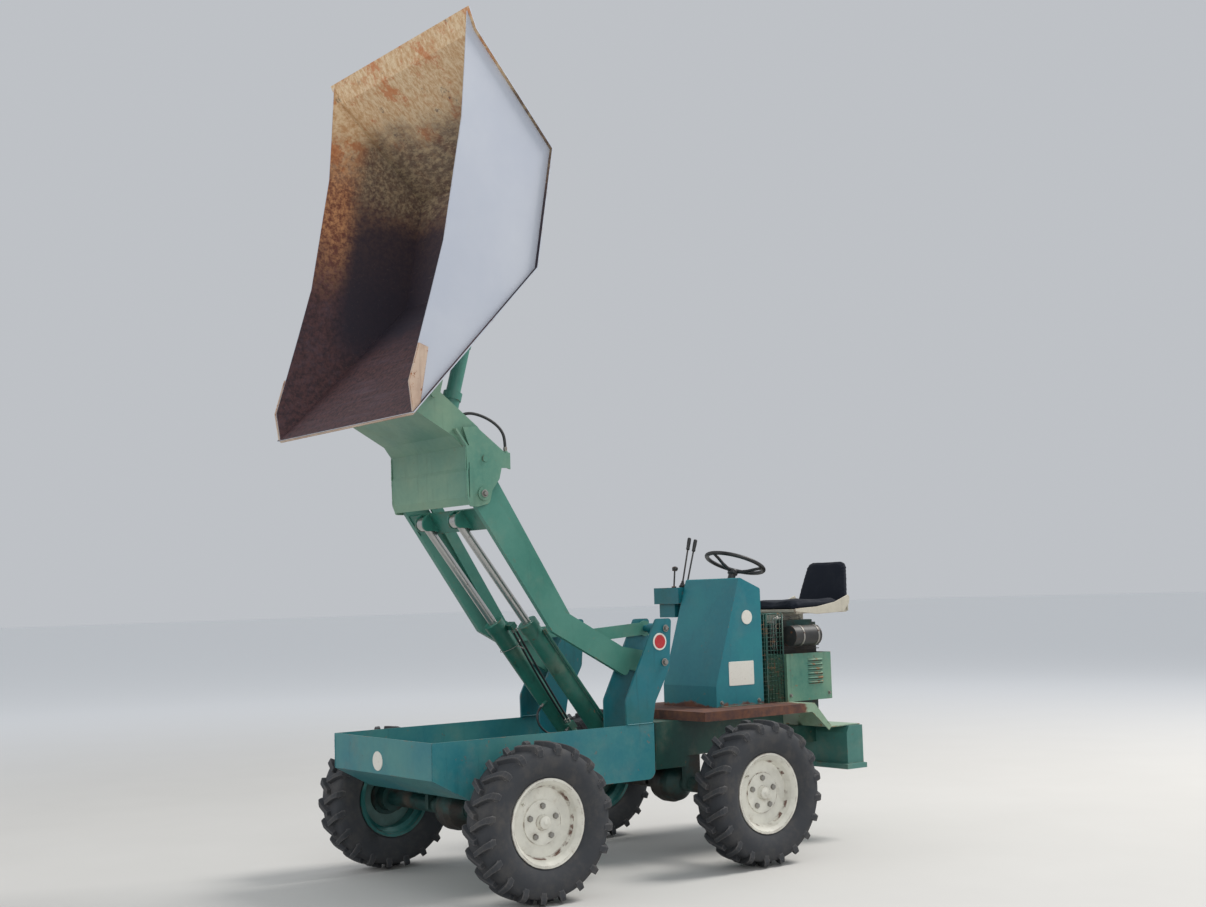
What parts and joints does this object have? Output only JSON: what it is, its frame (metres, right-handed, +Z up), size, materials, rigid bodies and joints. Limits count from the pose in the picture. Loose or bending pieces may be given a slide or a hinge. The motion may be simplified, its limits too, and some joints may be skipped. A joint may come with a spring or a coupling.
{
  "type": "articulated high-tip site dumper",
  "caption": "Articulated site dumper with a twin-arm lifting boom, a forward-tipping open skip, a rear operator's seat and a front chassis tray.",
  "frame": {"origin": "centre of the footprint box on the ground, between left and right and between the skip's pouring lip and the seat's back", "axes": "+Z up, front of the machine towards -Y, the machine's left towards +X"},
  "size_m": [1.65, 3.389, 4.2907],
  "materials": {
    "green_paint": "weathered teal green paint, chipped and rusty at edges",
    "white_paint": "weathered white paint outside, rust inside",
    "cream_paint": "dirty cream paint",
    "dark_iron": "oily dark casting",
    "rod_steel": "dull polished rod",
    "black_metal": "worn black paint",
    "black_plastic": "worn black plastic",
    "seat_pan_paint": "worn beige pan with rust",
    "seat_cover": "black vinyl, worn",
    "tyre": "dusty black rubber"
  },
  "bodies": {
    "front_chassis": {"tray": "green_paint", "front_yoke": "green_paint", "front_axle": "dark_iron", "cylinder_anchor": "green_paint", "columns": "green_paint"},
    "rear_chassis": {"rear_frame": "green_paint", "transmission": "dark_iron", "rear_axle": "dark_iron", "deck": "green_paint", "rear_bumper": "green_paint", "console": "green_paint", "valve_block": "black_metal", "levers": "black_metal", "steering_column": "black_metal", "engine_block": "dark_iron", "engine_cover": "green_paint", "engine_guard": "black_metal", "air_filter": "black_metal", "seat_base": "seat_pan_paint", "seat_squab": "seat_cover", "seat_back": "seat_cover"},
    "boom": {"boom_arms": "green_paint", "boom_cross_plate": "green_paint"},
    "links": {"levelling_links": "green_paint"},
    "head": {"head_box": "green_paint"},
    "skip": {"skip_tub": "white_paint", "skip_lugs": "green_paint"},
    "lift_cylinder_barrels": {"lift_barrels": "green_paint"},
    "lift_cylinder_rods": {"lift_rods": "rod_steel"},
    "tip_cylinder_barrel": {"tip_barrel": "green_paint"},
    "tip_cylinder_stage": {"tip_stage": "green_paint"},
    "tip_cylinder_rod": {"tip_rod": "rod_steel"},
    "steering": {"steering_wheel": "black_plastic"},
    "wheel_front_left": {"rim_front_left": "cream_paint", "tyre_front_left": "tyre"},
    "wheel_front_right": {"rim_front_right": "cream_paint", "tyre_front_right": "tyre"},
    "wheel_rear_left": {"rim_rear_left": "cream_paint", "tyre_rear_left": "tyre"},
    "wheel_rear_right": {"rim_rear_right": "cream_paint", "tyre_rear_right": "tyre"}
  },
  "joints": [
    {"name": "articulation", "type": "hinge", "parent": "front_chassis", "child": "rear_chassis", "pos_m": [0, -0.02078, 0.6075], "axis": [0, 0, 1], "range_deg": [-30, 30]},
    {"name": "boom_lift", "type": "hinge", "parent": "front_chassis", "child": "boom", "pos_m": [0, -0.05978, 1.074], "axis": [1, 0, 0], "range_deg": [0, 50.5]},
    {"name": "head_level", "type": "hinge", "parent": "boom", "child": "head", "pos_m": [0, -1.09078, 1.952], "axis": [1, 0, 0], "range_deg": [-50.7, 0.2]},
    {"name": "link_swing", "type": "hinge", "parent": "front_chassis", "child": "links", "pos_m": [0, -0.04678, 1.25], "axis": [1, 0, 0], "range_deg": [-0.2, 50.7]},
    {"name": "lift_cylinder_swing", "type": "hinge", "parent": "front_chassis", "child": "lift_cylinder_barrels", "pos_m": [0, -0.17078, 0.62], "axis": [1, 0, 0], "range_deg": [-0.2, 46.17]},
    {"name": "lift_cylinder_stroke", "type": "slide", "parent": "lift_cylinder_barrels", "child": "lift_cylinder_rods", "axis": [0, -0.6141, 0.7892], "range_m": [-0.3857, 0.001]},
    {"name": "skip_tip", "type": "hinge", "parent": "head", "child": "skip", "pos_m": [0, -1.35078, 2.44], "axis": [1, 0, 0], "range_deg": [-80, 0]},
    {"name": "tip_cylinder_swing", "type": "hinge", "parent": "head", "child": "tip_cylinder_barrel", "pos_m": [0, -1.12878, 2.12], "axis": [1, 0, 0], "range_deg": [-80.18, 0.2]},
    {"name": "tip_cylinder_first_stage", "type": "slide", "parent": "tip_cylinder_barrel", "child": "tip_cylinder_stage", "axis": [0, 0.2627, 0.9649], "range_m": [-0.2513, 0.001]},
    {"name": "tip_cylinder_second_stage", "type": "slide", "parent": "tip_cylinder_stage", "child": "tip_cylinder_rod", "axis": [0, 0.2627, 0.9649], "range_m": [-0.2513, 0.001]},
    {"name": "steering_turn", "type": "hinge", "parent": "rear_chassis", "child": "steering", "pos_m": [0, 0.90722, 1.6], "axis": [0, 0.3584, 0.9336], "continuous": true},
    {"name": "wheel_front_left_spin", "type": "hinge", "parent": "front_chassis", "child": "wheel_front_left", "pos_m": [0, -1.04528, 0.378], "axis": [1, 0, 0], "continuous": true},
    {"name": "wheel_front_right_spin", "type": "hinge", "parent": "front_chassis", "child": "wheel_front_right", "pos_m": [0, -1.04528, 0.378], "axis": [1, 0, 0], "continuous": true},
    {"name": "wheel_rear_left_spin", "type": "hinge", "parent": "rear_chassis", "child": "wheel_rear_left", "pos_m": [0, 0.36372, 0.378], "axis": [1, 0, 0], "continuous": true},
    {"name": "wheel_rear_right_spin", "type": "hinge", "parent": "rear_chassis", "child": "wheel_rear_right", "pos_m": [0, 0.36372, 0.378], "axis": [1, 0, 0], "continuous": true}
  ],
  "couplings": [
    {"joint": "head_level", "follows": "boom_lift", "ratio": -1},
    {"joint": "link_swing", "follows": "boom_lift", "ratio": 1},
    {"joint": "lift_cylinder_swing", "follows": "boom_lift", "ratio": 0.91027},
    {"joint": "lift_cylinder_stroke", "follows": "boom_lift", "m_per_rad": -0.43651},
    {"joint": "tip_cylinder_swing", "follows": "skip_tip", "ratio": 0.99976},
    {"joint": "tip_cylinder_first_stage", "follows": "skip_tip", "m_per_rad": 0.1793},
    {"joint": "tip_cylinder_second_stage", "follows": "skip_tip", "m_per_rad": 0.1793}
  ]
}
